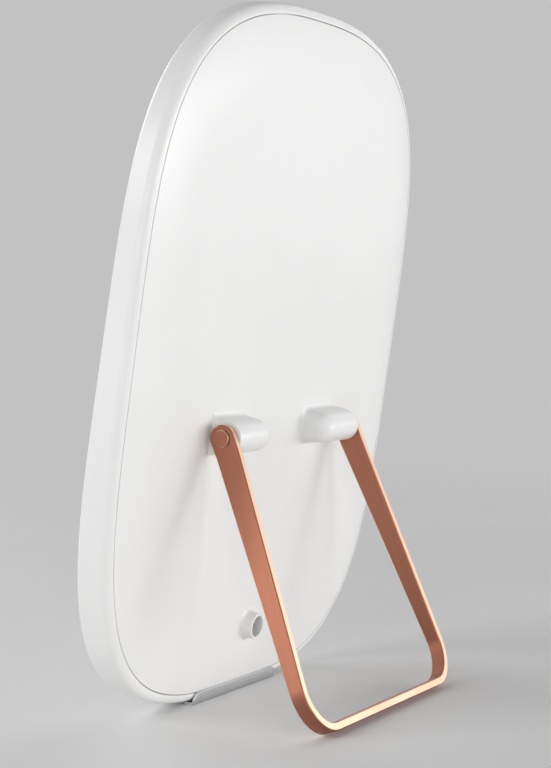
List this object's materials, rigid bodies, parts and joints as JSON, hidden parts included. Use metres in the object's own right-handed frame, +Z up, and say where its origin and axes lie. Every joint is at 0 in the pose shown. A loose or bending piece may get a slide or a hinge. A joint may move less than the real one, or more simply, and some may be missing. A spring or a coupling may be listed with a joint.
{
  "type": "light therapy lamp",
  "caption": "Slim leaning light panel with rounded corners, edge-lit diffuser, power button, DC inlet, metal foot and a swing-out U stand on friction pivots.",
  "frame": {"origin": "centre of the metal foot's flat underside, on the table", "axes": "+Z up; -Y is the side that the lit face looks to and +Y the side that the stand swings out to; X along the stand's hinge axis"},
  "size_m": [0.2838, 0.1097, 0.3482],
  "materials": {
    "white_shell": "white satin moulded plastic",
    "opal_diffuser": "opal, slightly frosted",
    "clear_acrylic": "clear polished acrylic with a fine dot pattern",
    "reflector_film": "white matte film",
    "led_board": "white solder mask",
    "bare_aluminium": "bare rolled sheet",
    "steel_screw": "bright steel",
    "circuit_board": "green solder mask",
    "black_plastic": "black moulded plastic",
    "dark_ferrite": "dark grey ferrite",
    "capacitor_can": "bright drawn can",
    "grey_button": "grey satin plastic",
    "copper_bolt": "rose-gold plated, turned face",
    "brass_insert": "machined brass",
    "copper_aluminium": "rose-gold anodised, brushed along the strip, polished edges",
    "silver_aluminium": "silver, fine satin",
    "red_wire": "insulated wire",
    "black_wire": "insulated wire",
    "white_wire": "insulated wire pair"
  },
  "bodies": {
    "panel": {"front_housing": "white_shell", "rear_cover": "white_shell", "diffuser": "opal_diffuser", "light_guide": "clear_acrylic", "reflector_sheet": "reflector_film", "led_board_left": "led_board", "led_board_right": "led_board", "chassis_plate": "bare_aluminium", "chassis_screw_1": "steel_screw", "chassis_screw_2": "steel_screw", "chassis_screw_3": "steel_screw", "chassis_screw_4": "steel_screw", "chassis_screw_5": "steel_screw", "chassis_screw_6": "steel_screw", "board_screw_1": "steel_screw", "board_screw_2": "steel_screw", "control_board": "circuit_board", "driver_chip": "black_plastic", "inductor": "dark_ferrite", "capacitor": "capacitor_can", "tact_switch": "black_plastic", "dc_jack": "black_plastic", "jack_pin": "steel_screw", "pivot_bolt_left": "copper_bolt", "pivot_bolt_right": "copper_bolt", "pivot_insert_left": "brass_insert", "pivot_insert_right": "brass_insert", "friction_washer_left": "black_plastic", "friction_washer_right": "black_plastic", "spring_washer_left": "steel_screw", "spring_washer_right": "steel_screw", "foot": "silver_aluminium", "power_wire_red": "red_wire", "power_wire_black": "black_wire", "led_lead_left": "white_wire", "led_lead_right": "white_wire"},
    "stand": {"stand": "copper_aluminium"},
    "power_button": {"power_button": "grey_button", "switch_plunger": "black_plastic"}
  },
  "joints": [
    {"name": "stand_hinge", "type": "hinge", "parent": "panel", "child": "stand", "pos_m": [0, 0.03073, 0.13655], "axis": [1, 0, 0], "range_deg": [-30.67, 59.33]},
    {"name": "power_button_press", "type": "slide", "parent": "panel", "child": "power_button", "axis": [0, 0.9898, -0.1423], "range_m": [0, 0.0005], "stiffness_N_per_m": 2000, "springref_m": -0.0004}
  ]
}
